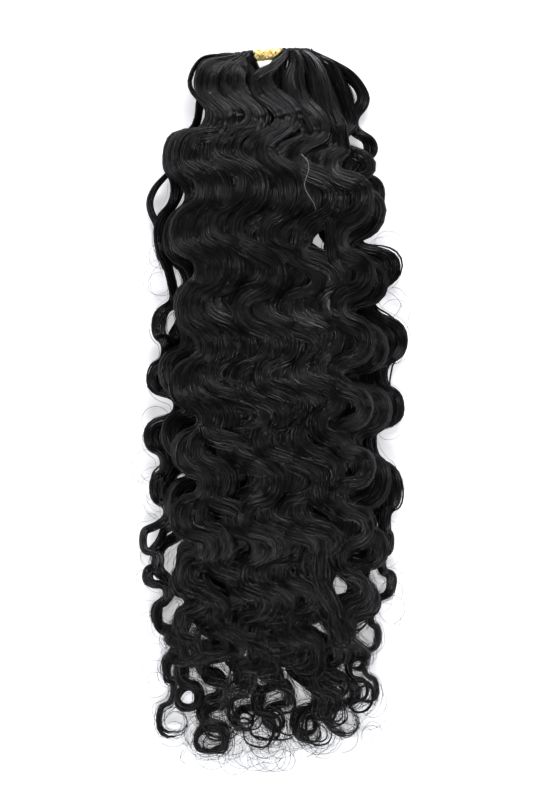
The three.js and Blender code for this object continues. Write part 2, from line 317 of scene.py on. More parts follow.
def swing(rows, values, y):
    """A column that swings round like a wave from fold to fold."""
    count = np.clip(along(rows, np.arange(len(rows)), y), 0, len(rows) - 1 - 1e-9)
    fold = count.astype(int)
    share = (1 - np.cos(np.pi * (count - fold))) / 2
    return values[fold] * (1 - share) + values[fold + 1] * share


print("pack is", max(LAYER) * 3, "mm deep at its fullest")

# %% [markdown]
# Each strand hangs by one crochet loop, counted outward from the wound part of the tie. It is a family of
# locks that leave the loop as thin cords, fan out, and run down side by side as one sheet. Lower down the
# sheet parts into bunches, and each bunch ends in a curl. The table gives each strand the numbers of its
# solid, its bunches and its fibres. Fibres on a covered strand begin where it comes into sight.

# %% The strands
Strand = namedtuple("Strand", "layer loop leave width lane tail_x tail_y turn bunches fibres seen")
STRANDS = {
    "strand_b1": Strand(0, -7, 80, 14, -50, -57, -176, 300, (2, 2), 7, 0.0),
    "strand_b2": Strand(0, -4, 76, 17.5, -31, -33, -187, 380, (3, 2), 9, 0.58),
    "strand_b3": Strand(0, -1, -22, 20, -10.5, -9, -186, 380, (2, 3), 9, 0.58),
    "strand_b4": Strand(0, 3, -12, 20, 11.5, 20, -182, 400, (3, 2), 9, 0.58),
    "strand_b5": Strand(0, 6, 52, 17.5, 32.5, 38, -177, 400, (3, 2), 9, 0.58),
    "strand_b6": Strand(0, 9, 54, 14, 51, 55, -160, 300, (2, 2), 7, 0.0),
    "strand_m1": Strand(1, -6, 70, 20, -42, -44, -172, 300, (2, 2), 9, 0.0),
    "strand_m2": Strand(1, -3, 4, 21.5, -22.5, -24, -186, 300, (2, 3), 9, 0.48),
    "strand_m3": Strand(1, 1, -38, 21.5, 0, 2, -183, 280, (3, 2), 9, 0.0),
    "strand_m4": Strand(1, 5, 40, 21.5, 22.5, 28, -178, 280, (2, 3), 9, 0.48),
    "strand_m5": Strand(1, 8, 58, 20, 43, 40, -164, 300, (2, 2), 9, 0.0),
    "strand_t1": Strand(2, -5, 66, 18, -36.5, -38, -130, 220, (2, 2), 14, 0.0),
    "strand_t2": Strand(2, -2, 44, 18, -19, -20, -148, 240, (2, 2), 14, 0.0),
    "strand_t3": Strand(2, 2, -28, 18, 0, 0, -140, 220, (2, 2), 14, 0.0),
    "strand_t4": Strand(2, 4, 30, 18, 19, 20, -138, 240, (2, 2), 14, 0.0),
    "strand_t5": Strand(2, 7, 52, 18, 36.5, 40, -128, 220, (2, 2), 14, 0.0),
}
EDGES = {"strand_b1": (LEFT_Y, LEFT_X), "strand_b6": (RIGHT_Y, RIGHT_X)}
EDGE_SHARE = (1.0, 1.0, 0.94, 0.86)
print("strands", len(STRANDS), "locks", sum(sum(s.bunches) for s in STRANDS.values()))

# %% [markdown]
# A lock's line has four lengths. The first is its loop, which goes under the tie and comes up behind it,
# so that the cord leaves over the top. The loops of the two end strands are spread further along the tie.
# The second is the head, a curve from there to the first fold, where the cord opens into a lock.

# %% Loop and head of a lock
FIRST_LOOP, LOOP_PITCH, LOOP_DEPTH, LOOP_HEIGHT = 9.2, 1.65, 3.6, 2.2
LOOP_SPAN = {"strand_b1": 6.6, "strand_b6": 3.2}
LOOP_ARC = (-20, -205)
LOOP_END = (0.57, 0.95)
LOOP_STATIONS, HEAD_STATIONS = 9, 11
HEAD_FAN, HEAD_STRAY = 34, 9
LEFT_HEADS, RIGHT_HEADS = -15, 5
WIDE_REACH, REACH = 0.6, 0.42


def on_tie(along_tie, across_tie, height):
    """A point given along and across the tie, in the tables' frame."""
    c, s = math.cos(TIE.tilt), math.sin(TIE.tilt)
    across_tie = across_tie - TIE.droop * (np.asarray(along_tie) / TIE.half) ** 2
    x = TIE.x + along_tie * c - across_tie * s
    y = TIE.y + along_tie * s + across_tie * c
    return np.stack(np.broadcast_arrays(x, y, height), -1).astype(float)


def loop_place(name, strand, place):
    """How far along the tie a lock's own loop sits."""
    outward = math.copysign(1, strand.loop)
    first = FIRST_LOOP + (abs(strand.loop) - 1) * LOOP_PITCH
    if name in LOOP_SPAN:
        return outward * (first - 1 + (0.5 + outward * place) * LOOP_SPAN[name])
    return outward * first + place * LOOP_PITCH


def head_line(name, strand, place, first):
    """A lock's loop, its head as far as the first point of its body, and how far the head has opened."""
    outward = math.copysign(1, strand.loop)
    loop_at = loop_place(name, strand, place)
    depth = LOOP_DEPTH * rng.uniform(0.8, 1.0)
    height = LOOP_HEIGHT * rng.uniform(0.85, 1.15)
    round_tie = np.radians(np.linspace(*LOOP_ARC, LOOP_STATIONS))
    lean = rng.uniform(-0.7, 0.7) * np.linspace(-1, 1, LOOP_STATIONS)
    loop = on_tie(loop_at + lean, -depth * np.cos(round_tie), TIE.z + height * np.sin(round_tie))
    start = on_tie(loop_at + lean[-1], LOOP_END[0] * depth, TIE.z + LOOP_END[1] * height)
    leave = math.radians(strand.leave + outward * place * HEAD_FAN + rng.uniform(-HEAD_STRAY, HEAD_STRAY))
    away = np.array([outward * math.sin(leave), -math.cos(leave), 0.0])
    wide = strand.lane < LEFT_HEADS or name == "strand_m5"
    reach = np.linalg.norm((first - start)[:2]) * (WIDE_REACH if wide else REACH)
    sideways = -0.45 if strand.lane > RIGHT_HEADS else 0.3 if strand.lane < LEFT_HEADS else 0.0
    arrive = np.array([sideways, 0.85, 0.0]) * reach
    share = np.linspace(0, 1, HEAD_STATIONS, endpoint=False)
    t = share[:, None]
    head = (1 - t) ** 3 * start + 3 * (1 - t) ** 2 * t * (start + away * reach)
    head += 3 * (1 - t) * t ** 2 * (first + arrive) + t ** 3 * first
    head[:, 2] = start[2] + (first[2] - start[2]) * ease(0.1, 0.9, share)
    return loop, head, ease(-0.06, 0.8, share)


print("loops reach", max(abs(loop_place(n, s, 0.5)) for n, s in STRANDS.items()), "mm along the tie")

# %% [markdown]
# The third length is the body. It swings from fold to fold, and rises and falls too, because a set wave
# is a flattened coil: that catches the light in bands. Each swing leans over itself like the bends of a
# river, more so towards the tips. No two strands keep the same time, and lower down no two bunches do: a
# small lag opens the gaps that show the table, and from the middle of the pack down it breaks the waves up.

# %% Time that the strands keep
BEND_Y = (172, 150, 120, 60, -60, -190)
BENDS = {
    # at each height of BEND_Y: shares for lean, overlap and flatness, and mm for lags and rise
    "lean": (0.05, 0.14, 0.22, 0.26, 0.32, 0.42),
    "strand_lag": (2, 3, 4, 5, 5.5, 2),
    "bunch_lag": (0.3, 0.5, 1.2, 3.0, 5.5, 4.0),
    "rise": (0.6, 1.5, 2.6, 3.8, 3.6, 3.2),
    "overlap": (1.7, 2.2, 2.7, 2.7, 2.4, 2.0),
    "flatness": (0.45, 0.34, 0.25, 0.25, 0.4, 0.6),
}
UNEVEN, UNEVEN_DEPTH = 0.7, (-15, 35, 70, 110)


def wander(y, size, length):
    """A slow random wandering along the pack: size in mm, length of one swing in mm."""
    turns = 2 * np.pi * np.asarray(y, float) / length
    return sum(size / k * np.sin(turns * k + rng.uniform(0, 2 * np.pi)) for k in (1, 2))


def tide(lane, layer, y):
    """The time a strand keeps, from about -1 to 1: close to its neighbours' time, and changing slowly."""
    even = 0.6 * np.sin(lane / 30 + y / 64 + 0.7 * layer)
    even += 0.4 * np.sin(lane / 17 - y / 41 + 1.7 * layer + 2)
    uneven = 0.7 * np.sin(lane / 8 + y / 50 + 2.1 * layer)
    uneven += 0.5 * np.sin(lane / 13 - y / 35 + 1.1 * layer)
    return even + UNEVEN * (uneven - even) * hump(*UNEVEN_DEPTH, -y)


def settled(values, passes=3):
    """Values along a line, smoothed with their neighbours."""
    for _ in range(passes):
        values[1:-1] = (values[:-2] + 2 * values[1:-1] + values[2:]) / 4
    return values


print("tide of the middle strand", tide(0, 2, np.array(BEND_Y)).round(2))

# %% [markdown]
# Near the tie the strands on the right spread out, calm down and fold later. Those on the left spread
# lower down, and step out there like a shelf. The edge strands are thinner than the rest, and the outermost
# lock of one next to them is a thin rope. Two heights say where such a size comes in, and four also where
# it goes.

# %% How the two sides differ
DRIFT_START, EDGE_LANE = -80.0, 40
RIGHT_SPREAD, RIGHT_SPREAD_Y = 4.0, (138, 160)
RIGHT_CALM, RIGHT_CALM_LANES, RIGHT_CALM_Y = 0.45, (5, 20), (146, 160)
RIGHT_DELAY, RIGHT_DELAY_Y = 11.0, (110, 165)
LEFT_SPREAD, LEFT_SPREAD_Y = -5.0, (104, 120, 146, 160)
LEFT_SHELF, LEFT_SHELF_Y = 0.3, (126, 138, 152, 166)
EDGE_WIDTH, EDGE_HEAD, EDGE_HEAD_Y = 0.66, {"strand_b1": 0.1, "strand_b6": 0.5}, (140, 165)
ROPE, ROPE_PLACE, ROPE_THINNER, ROPE_Y = "strand_m1", -0.3, 0.5, (150, 168)


def lane_line(strand, nominal, left, right):
    """The middle of a strand's path across the pack, at each height."""
    drift = ease(-DRIFT_START, -strand.tail_y, -nominal)
    lane = strand.lane * along(PROFILE_Y, SPREAD, nominal) * (1 - drift) + strand.tail_x * drift
    lane += along(PROFILE_Y, PACK_SHIFT, nominal)
    lane += RIGHT_SPREAD * right * ease(*RIGHT_SPREAD_Y, nominal)
    lane += LEFT_SPREAD * left * hump(*LEFT_SPREAD_Y, nominal)
    return settled(lane, 10)


def lock_width(name, place, nominal):
    """A lock's width as a share of what its place in the pack gives it."""
    share = np.ones(len(nominal))
    if name in EDGES:
        share = EDGE_WIDTH + EDGE_HEAD[name] * ease(*EDGE_HEAD_Y, nominal)
    if name == ROPE and place < ROPE_PLACE:
        share = 1 - ROPE_THINNER * ease(*ROPE_Y, nominal)
    return share


print("edge strands", list(EDGES), "rope in", ROPE)

# %% [markdown]
# With these the body can be drawn: stations along each fold, and at each its place, width and thickness.

# %% Body of a lock
STATIONS_UPPER, STATIONS_LOWER, STATIONS_EDGE = 7, 8, 9
LOWER_FROM = -60
LAST_FOLD_ABOVE = 4
LOOSE_DEPTH, TAIL_LAG_DEPTH = (30, 150), 60
STRAY_TOP, STRAY_TOP_Y = 0.5, (60, 130)
WANDER, WANDER_X, WANDER_Z, WANDER_X_DEPTH = 0.8, 150, 110, (-150, -110)


def body_line(name, strand, bunch, place, follow):
    """A lock's body, its heights on the pack, widths, thicknesses, and the side its end curls to."""
    edge = EDGES.get(name)
    rows = edge[0] if edge else TOP_FOLD_Y if name in TOP_PACK else FOLD_Y
    first_phase = 0 if name == "strand_b1" or name in TOP_PACK else 1
    last = int(np.argmin(np.abs(rows - bunch.tail_y - LAST_FOLD_ABOVE)))
    if edge:
        last -= last % 2
    dense = np.where(rows[:last] > LOWER_FROM, STATIONS_UPPER, STATIONS_LOWER)
    if edge:
        dense[:] = STATIONS_EDGE
    fold = np.concatenate([k + np.arange(n) / n for k, n in enumerate(dense)] + [[last]])
    nominal = np.interp(fold, np.arange(len(rows)), rows)
    phase = np.pi * (fold - first_phase)
    half_wave = settled(np.abs(np.gradient(nominal, fold)) / np.pi, 12)
    loose = ease(*LOOSE_DEPTH, -nominal)
    bends = {key: along(BEND_Y, values, nominal) for key, values in BENDS.items()}
    left, right = np.clip(-strand.lane / EDGE_LANE, 0, 1), np.clip(strand.lane / EDGE_LANE, 0, 1)

    wide = strand.width * along(PROFILE_Y, FULLNESS, nominal)
    if name in FILL:
        wide *= 1 + along(*FILL[name], nominal)
    across = bunch.middle * (1 + 0.3 * loose) + (place - bunch.middle) * (1 - 0.55 * loose)
    sway = bunch.gain * np.interp(fold, np.arange(len(FOLD_SWAY)), FOLD_SWAY) * rng.uniform(0.94, 1.06)
    sway *= 1 - RIGHT_CALM * ease(*RIGHT_CALM_LANES, strand.lane) * ease(*RIGHT_CALM_Y, nominal)
    x = lane_line(strand, nominal, left, right) + across * wide + bunch.shift * loose - sway * np.cos(phase)
    x += wander(nominal, WANDER, WANDER_X) * ease(*WANDER_X_DEPTH, -nominal)
    if edge:
        x = (1 - follow) * x + follow * (swing(*edge, nominal) + 0.9 * across * wide)

    shelf = LEFT_SHELF * left * hump(*LEFT_SHELF_Y, nominal)
    y = nominal - (bends["lean"] + shelf) * half_wave * np.sin(2 * phase)
    lag = bends["strand_lag"] * (tide(strand.lane, strand.layer, nominal) + bunch.strand_lag)
    lag += bends["bunch_lag"] * bunch.lag(nominal)
    lag += rng.uniform(-1, 1) * (1.1 + STRAY_TOP * ease(*STRAY_TOP_Y, nominal) + loose)
    lag += (bunch.tail_y - rows[last]) * ease(TAIL_LAG_DEPTH, -bunch.tail_y, -nominal)
    lag -= RIGHT_DELAY * right * ease(*RIGHT_DELAY_Y, nominal)
    y += (1 - 0.7 * follow) * lag

    layer = along(PROFILE_Y, LAYER, nominal)
    z = strand.layer * (layer + LAYER_GAP) + rng.uniform(0.28, 0.72) * layer
    z += bends["rise"] * np.sin(phase + rng.uniform(-0.4, 0.4)) + wander(nominal, WANDER, WANDER_Z)
    width = wide / sum(strand.bunches) * bends["overlap"] * lock_width(name, place, nominal)
    thick = np.minimum(width * bends["flatness"], layer * 0.5)
    side = 1 if (last - first_phase) % 2 == 0 else -1
    return np.stack([x, y, z], 1), nominal, width, thick, side


print("stations in a fold", STATIONS_UPPER, STATIONS_LOWER, STATIONS_EDGE)

# %% [markdown]
# The fourth length carries the last bend on into a ring. Most bottom bunches end in a ring that lies open
# on the table, and one knows the tips by these rings. Each row is the ring of one bunch: its middle, its
# radius, and how wide the band of hair in it is. The lower part of the body bends over to it.

# %% Rings at the tips
RINGS = {
    # strand and bunch: x, y, radius, band
    ("strand_b1", 0): (-54.2, -177.4, 8.4, 0.5), ("strand_b1", 1): (-52.5, -149.3, 6.6, 1.8),
    ("strand_m1", 0): (-46.0, -163.5, 6.2, 4.8), ("strand_m1", 1): (-52.5, -140.0, 4.4, 1.3),
    ("strand_b2", 0): (-33.8, -186.7, 8.4, 2.8), ("strand_b3", 0): (-15.1, -177.7, 4.8, 2.0),
    ("strand_b3", 1): (2.2, -176.3, 5.6, 2.6), ("strand_b4", 0): (18.9, -178.2, 6.0, 2.2),
    ("strand_b4", 1): (20.6, -181.8, 7.0, 0.9), ("strand_b5", 0): (39.9, -175.7, 8.8, 0.5),
    ("strand_b5", 1): (33.3, -166.9, 4.6, 2.0), ("strand_b6", 0): (47.0, -144.4, 4.6, 1.8),
    ("strand_b6", 1): (52.8, -160.9, 6.0, 1.5),
}
RING_TURN = math.radians(390)
RING_BEND = 80
CURL_STATIONS = 16


def tip_curl(bunch, body, nominal, width, side):
    """A lock's curled tip and its widths. A body whose ring has a place is bent over to it."""
    heading = body[-1, :2] - body[-2, :2]
    heading /= np.linalg.norm(heading)
    inward = np.array([-heading[1], heading[0]]) * side
    free = 0.6 if bunch.ring else 1.0
    radius = bunch.radius * (1 + free * rng.uniform(-0.14, 0.14))
    turn = np.linspace(0, bunch.turn * (1 + free * rng.uniform(-0.15, 0.1)), CURL_STATIONS + 1)[1:]
    uneven = 0.16 * np.sin(2 * turn + rng.uniform(0, 6)) + 0.08 * np.sin(3 * turn)
    shrink = radius * (1 - 0.3 * free * turn / turn[-1]) * (1 + free * uneven * ease(0, 1.5, turn))
    middle = body[-1, :2] + inward * radius
    ring = middle - shrink[:, None] * (np.cos(turn)[:, None] * inward - np.sin(turn)[:, None] * heading)
    ring += heading * (free * turn * rng.uniform(-0.5, 0.9))[:, None]
    curl = np.column_stack([ring, body[-1, 2] + 0.9 * np.sin(turn * 0.6)])
    share = np.linspace(0, 1, CURL_STATIONS)
    if not bunch.ring:
        return curl, width[-1] * (1 - 0.6 * ease(0, 1, share))
    move = np.array(bunch.ring[:2]) - middle
    band = bunch.ring[3]
    body[:, :2] += ease(nominal[-1] + RING_BEND, nominal[-1], nominal)[:, None] * move
    curl[:, :2] += move
    return curl, band + (width[-1] - band) * ease(0.3, 0, share)


print("rings", len(RINGS))

# %% [markdown]
# In some places the locks have parted and the table shows between them. Each row is one parting: its
# middle, half its width, half its length, and how far it slants aside for each millimetre up the pack. A
# lock keeps to the side on which most of it lies, and moves over until its own edge is clear.

# %% Partings
PARTINGS = (
    # x, y, half width, half length, slant
    (26.5, 86.0, 4.4, 16, 0.0), (-7, 31.5, 2.5, 13, 0.15), (36, -102.5, 5.2, 15, 0.0),
    (27.8, -125, 3.6, 12, -0.4), (17, -160, 5, 11, -0.2), (-50, 109, 1.6, 11, 0.7),
    (-51.5, 67, 3.6, 14, -0.4), (-54.5, 46, 3.8, 13, 0.3), (-56, -41, 1.4, 10, 0.5),
    (-50.5, -42, 1.4, 9, 0.6), (-65, -75, 3.4, 9, 0.0), (-54, -88, 3, 12, -0.4),
    (-56.5, -118.5, 5, 10, -0.2), (45.4, 169.7, 1.6, 9, 0.2), (45.4, 141.6, 3.9, 10, -0.3),
    (57.5, -94, 1.5, 8, 0.0), (58.6, -104, 2.5, 10, 0.0), (50.3, -130, 4.5, 9, 0.0),
    (-22, -150, 3, 9, 0.5), (-43.7, 177.4, 1.0, 7, 0.5), (-4.6, 184.5, 4, 6, -0.3),
    (-38.2, 155.4, 1.2, 8, 0.2),
)


def parted(points, widths):
    """A lock's line, moved clear of every parting that it meets."""
    whole = points[:, 0].copy()
    for x, y, half_width, half_length, slant in PARTINGS:
        down = points[:, 1] - y
        away = points[:, 0] - x - slant * down
        half_length = half_length * rng.uniform(0.8, 1.15)
        near = ease(1, 0.4, np.abs(down) / half_length)
        if near.any():
            side = 1 if np.average(away, weights=near) > 0 else -1
            shape = 0.5 + 0.5 * np.cos(np.clip(down / half_length, -1, 1) * np.pi / 2) ** 2
            clear = (half_width + widths / 2) * shape * rng.uniform(0.75, 1.25)
            points[:, 0] += near * (side * np.maximum(side * away, clear) - away)
    points[:, 0] = whole + settled(points[:, 0] - whole, 4)
    return points


print("partings", len(PARTINGS))

# %% [markdown]
# The four lengths make one line. It is rounded where the head meets the body, so that it doesn't kink, and
# its rise and fall are calmed over the first fold.

# %% The line of one lock
HEAD_CORD, EDGE_CORD = 1.4, 1.35
JOINT_STATIONS, CALM_STATIONS = 5, (16, 2)
TABLE_GAP = 0.1


def lock_line(name, strand, bunch, place, follow):
    """Centre points of one lock in mm, with its width and thickness at each."""
    body, nominal, width, thick, side = body_line(name, strand, bunch, place, follow)
    loop, head, opening = head_line(name, strand, place, body[0])
    curl, curl_width = tip_curl(bunch, body, nominal, width, side)
    cord = np.full(LOOP_STATIONS, EDGE_CORD if name in LOOP_SPAN else HEAD_CORD)
    widths = np.concatenate([HEAD_CORD + (width[0] - HEAD_CORD) * opening, width, curl_width])
    points = parted(np.vstack([head, body, curl]), widths)
    from_joint = np.arange(len(points)) - HEAD_STATIONS
    joint = ease(JOINT_STATIONS, 0, np.abs(from_joint + 1))[:, None]
    points += joint * (settled(points.copy(), 4) - points)
    points[:, 2] = settled(points[:, 2], 6)
    points[:, 2] += ease(*CALM_STATIONS, from_joint) * (settled(points[:, 2].copy(), 14) - points[:, 2])
    points = np.vstack([loop, points])
    widths = np.concatenate([cord, widths])
    head_thick = HEAD_CORD + (thick[0] - HEAD_CORD) * opening
    thicks = np.concatenate([cord, head_thick, thick, thick[-1] / width[-1] * curl_width])
    points[:, 2] = np.maximum(points[:, 2], thicks / 2 + TABLE_GAP)
    return points + SHIFT, widths, thicks


print("cord at the head, mm", HEAD_CORD)

# %% [markdown]
# A flat lock needs to know which way is sideways and which is up at every station. Sideways turns with the
# line, but is eased along it and kept long, so that the lock shears at the turns and keeps its full width.
# At the start of a line, where a lock goes round the tie, sideways is along the tie.

# %% Directions along a line
TIE_DIRECTION = np.array([math.cos(TIE.tilt), math.sin(TIE.tilt), 0.0])
LEAST_SHEAR = 0.7


def unit(vectors):
    """Rows of vectors at length 1."""
    return vectors / np.linalg.norm(vectors, axis=1)[:, None]


def run_of(points):
    """Length along a line at each of its points."""
    return np.concatenate([[0], np.cumsum(np.linalg.norm(np.diff(points, axis=0), axis=1))])


def guide_of(points, width, thick, twist=None, **more):
    """A line with its sizes and directions, turned by twist, as the loft and the fibres need it."""
    twist = np.zeros(len(points)) if twist is None else twist
    tangent = unit(np.gradient(points, axis=0))
    side = np.stack([-tangent[:, 1], tangent[:, 0], np.zeros(len(points))], 1)
    side[:LOOP_STATIONS] = TIE_DIRECTION
    side = unit(side - np.sum(side * tangent, 1)[:, None] * tangent)
    eased = settled(side.copy(), 4)
    side = eased / np.clip(np.sum(eased * side, 1), LEAST_SHEAR, None)[:, None]
    up = unit(np.cross(tangent, side))
    c, s = np.cos(twist)[:, None], np.sin(twist)[:, None]
    return SimpleNamespace(points=points, width=width, thick=thick, length=run_of(points),
                           side=c * side + s * up, up=c * up - s * side, **more)


print("tie direction", TIE_DIRECTION.round(3))

# %% [markdown]
# Now every lock is drawn. The locks of a bunch share its lag, sway and ring, and the bunches of a strand
# share some of their lag and sway. A lock thins out at its tip, where the fibres take over.

# %% Draw every lock
TWIST = math.radians(13)
OUTER_LANE, OUTER_GAIN = 35, 0.85
RING_THINNER, TIP_THINNER, TIP_FROM = 0.3, 0.8, (0.77, 0.97)


def slow_lag():
    """A lag between -1 and 1 that changes slowly down the pack."""
    start, swing_size, turn_at = rng.uniform(-1, 1), rng.uniform(0.2, 0.6), rng.uniform(0, 2 * np.pi)
    return lambda y: start + swing_size * np.sin(y / 32 + turn_at)


guides = {}
for name, strand in STRANDS.items():
    guides[name] = []
    count = sum(strand.bunches)
    strand_lag = rng.uniform(-0.48, 0.48)
    strand_gain = rng.uniform(0.9, 1.12) * (OUTER_GAIN if abs(strand.lane) > OUTER_LANE else 1.0)
    number = 0
    for bunch_number, size in enumerate(strand.bunches):
        bunch = SimpleNamespace(
            ring=RINGS.get((name, bunch_number)), middle=(number + size / 2) / count - 0.5, lag=slow_lag(),
            strand_lag=strand_lag, gain=strand_gain * rng.uniform(0.9, 1.12), shift=rng.uniform(-4, 4),
            tail_y=strand.tail_y + (rng.uniform(4, 16) if number else 0), radius=rng.uniform(7.0, 9.5),
            turn=math.radians(strand.turn * rng.uniform(0.8, 1.05)),
        )
        if bunch.ring:
            bunch.tail_y = bunch.ring[1] + LAST_FOLD_ABOVE
            bunch.radius = bunch.ring[2]
            bunch.turn = RING_TURN
        for _ in range(size):
            place = (number + 0.5) / count - 0.5
            from_edge = number if name == "strand_b1" else count - 1 - number
            follow = EDGE_SHARE[from_edge] if name in EDGES else 0.0
            points, widths, thicks = lock_line(name, strand, bunch, place, follow)
            sweep = np.linspace(0, rng.uniform(12, 30), len(points)) + rng.uniform(0, 6)
            twist = TWIST * np.sin(sweep)
            twist[:LOOP_STATIONS] = 0
            guide = guide_of(points, widths, thicks, twist, tone=rng.uniform(0.25, 1.0))
            thinner = RING_THINNER if bunch.ring else TIP_THINNER
            guide.core = 1 - thinner * ease(*TIP_FROM, guide.length / guide.length[-1])
            guides[name].append(guide)
            number += 1
stations = sum(len(g.points) for family in guides.values() for g in family)
print("lock lines", sum(len(f) for f in guides.values()), "stations", stations)

# %% [markdown]
# One thin lock has come out of the left edge and loops round outside it. Its line is given point by point.

# %% A lock that has come free
FREE_LOCK = np.array([
    (-48, 139, 7), (-53, 131, 7), (-58, 124, 6), (-64, 119, 5), (-68.5, 110, 4), (-66, 102, 4),
    (-61.5, 95, 5), (-64, 87, 4), (-62, 79, 5), (-58, 70, 6),
], float)
FREE_STATIONS = 48


def smooth_line(rows, stations, passes):
    """A line through rows of points, with this many stations, smoothed."""
    marks = np.linspace(0, len(rows) - 1, stations)
    columns = [settled(np.interp(marks, np.arange(len(rows)), column), passes) for column in rows.T]
    return np.column_stack(columns) + SHIFT


free_width = 1.5 + 3.4 * np.sin(np.linspace(0, np.pi, FREE_STATIONS))
free_lock = guide_of(smooth_line(FREE_LOCK, FREE_STATIONS, 10), free_width, 0.6 * free_width, tone=0.6,
                     core=np.full(FREE_STATIONS, 0.9))
guides["strand_b1"].append(free_lock)
print("free lock, mm long", free_lock.length[-1].round(1))

# %% [markdown]
# Here and there a thin wisp bows out of an edge and joins it again, with a slit of white between. Each row
# is one wisp: its strand, the lock it leaves, its two ends up the pack, and how far it bows.

# %% Wisps along the edges
WISPS = (
    ("strand_b6", 3, 94, 60, 1.5), ("strand_b6", 2, 66, 24, 3.2), ("strand_b6", 3, 27, 2, 2.2),
    ("strand_b6", 3, -30, -75, 1.2), ("strand_b1", 0, 36, -8, 1.0), ("strand_b1", 1, -20, -70, 2.6),
)
WISP_WIDTH = 1.2
wisps = {name: [] for name in EDGES}
for name, lock, high, low, bow in WISPS:
    guide = guides[name][lock]
    chosen = np.flatnonzero((guide.points[:, 1] < high) & (guide.points[:, 1] > low))
    share = np.linspace(0, 1, len(chosen))
    outward = math.copysign(1, STRANDS[name].lane)
    bowed = (WISP_WIDTH + bow) * np.sin(np.pi * share) ** 2
    away = outward * (0.4 * guide.width[chosen] - WISP_WIDTH + bowed)
    size = WISP_WIDTH * (0.5 + 0.5 * np.sin(np.pi * share))
    wisp = guide_of(guide.points[chosen] + away[:, None] * guide.side[chosen], size, 0.8 * size, tone=0.7,
                    core=np.ones(len(chosen)))
    wisp.points[:, 2] = np.maximum(wisp.points[:, 2], size)
    wisps[name].append(wisp)
print("wisps", sum(len(w) for w in wisps.values()))

# %% [markdown]
# The body of a lock is a closed, flattened tube lofted along its line. A smooth tube would look like a
# ribbon of plastic, so its section is ribbed. Each rib is a wisp of fibres, and swells and fades along the
# lock. The finer lines between the ribs are left to the finish.

# %% Loft the locks
RIBS_ROUND = 8
BODY_SHARE = 0.86
FLOOR = 0.02


def lock_bodies(name, family):
    """One mesh of ribbed, closed lock bodies."""
    verts, faces, uvs, tones = [], [], [], []
    base = 0
    rib_number = np.arange(RIBS_ROUND)
    angle = 2 * np.pi * rib_number / RIBS_ROUND
    for guide in family:
        n = len(guide.points)
        rib = np.where(rib_number % 2 == 0, 1.0, -1.0) * rng.uniform(0.03, 0.12, RIBS_ROUND)
        pitch = rng.uniform(18, 45, RIBS_ROUND)
        swell = np.sin(guide.length[:, None] / pitch + rng.uniform(0, 6, RIBS_ROUND))
        ring = BODY_SHARE * guide.core[:, None] * (1 + rib * (0.65 + 0.5 * swell))
        across = (guide.width[:, None] / 2 * ring * np.cos(angle))[..., None] * guide.side[:, None]
        upward = (guide.thick[:, None] / 2 * ring * np.sin(angle))[..., None] * guide.up[:, None]
        loft = guide.points[:, None] + across + upward
        loft[..., 2] = np.maximum(loft[..., 2], FLOOR)
        verts.append(loft.reshape(-1, 3))
        tones.append(np.full(n * RIBS_ROUND, guide.tone))
        i, k = np.meshgrid(np.arange(n - 1), rib_number, indexing="ij")
        here, there = base + i * RIBS_ROUND, base + (i + 1) * RIBS_ROUND
        following = (k + 1) % RIBS_ROUND
        quads = np.stack([here + k, here + following, there + following, there + k], -1)
        faces += quads.reshape(-1, 4).tolist()
        around = 2.4 * np.mean(guide.width) / RIBS_ROUND
        offset = rng.uniform(0, 200)
        u0, u1 = guide.length[i] + offset, guide.length[i + 1] + offset
        v0, v1 = k * around, (k + 1) * around
        uvs.append(np.stack([u0, v0, u0, v1, u1, v1, u1, v0], -1).reshape(-1, 2))
        faces.append((base + rib_number[::-1]).tolist())
        faces.append((base + (n - 1) * RIBS_ROUND + rib_number).tolist())
        uvs.append(np.zeros((2 * RIBS_ROUND, 2)))
        base += n * RIBS_ROUND
    mesh = bpy.data.meshes.new(name)
    mesh.from_pydata((np.vstack(verts) * MM).tolist(), [], faces)
    layer = mesh.uv_layers.new(name="along_fibre")
    layer.data.foreach_set("uv", np.vstack(uvs).astype(np.float32).ravel())
    attribute = mesh.attributes.new("tone", "FLOAT", "POINT")
    attribute.data.foreach_set("value", np.concatenate(tones).astype(np.float32))
    mesh.polygons.foreach_set("use_smooth", np.ones(len(mesh.polygons), bool))
    mesh.materials.append(COMBED_HAIR)
    piece = bpy.data.objects.new(name, mesh)
    scene.collection.objects.link(piece)
    return piece


def triangles(piece):
    """Triangles in a mesh piece."""
    piece.data.calc_loop_triangles()
    return len(piece.data.loop_triangles)


bodies = {}
for name, family in guides.items():
    bodies[name] = lock_bodies(name + "_hair", family + wisps.get(name, []))
print("lock bodies, triangles", sum(triangles(p) for p in bodies.values()))

# %% [markdown]
# Fibres lie over each lock, follow its line and stray from it more towards the tip. That is a rule along a
# path, so a Geometry Nodes tree does it. It is given the lines as bare edges, with the directions and sizes
# stored on their points. Both trees below start by copying their lines and end by giving the copies round
# bodies, so those two ends are written once.

# %% Lines, and the two ends of a tree
STORED = {
    "side": "FLOAT_VECTOR", "up": "FLOAT_VECTOR", "width": "FLOAT", "thick": "FLOAT", "length": "FLOAT",
}
MATH, VECTOR = "ShaderNodeMath", "ShaderNodeVectorMath"


def guide_lines(name, family):
    """Lines as edges in metres, with their stored directions and sizes."""
    edges, base = [], 0
    for guide in family:
        n = len(guide.points)
        edges += [(base + k, base + k + 1) for k in range(n - 1)]
        base += n
    mesh = bpy.data.meshes.new(name)
    mesh.from_pydata((np.vstack([g.points for g in family]) * MM).tolist(), edges, [])
    for key, kind in STORED.items():
        values = np.concatenate([getattr(g, key) for g in family]) * (MM if kind == "FLOAT" else 1.0)
        field = "value" if kind == "FLOAT" else "vector"
        mesh.attributes.new(key, kind, "POINT").data.foreach_set(field, values.astype(np.float32).ravel())
    lines = bpy.data.objects.new(name, mesh)
    scene.collection.objects.link(lines)
    return lines


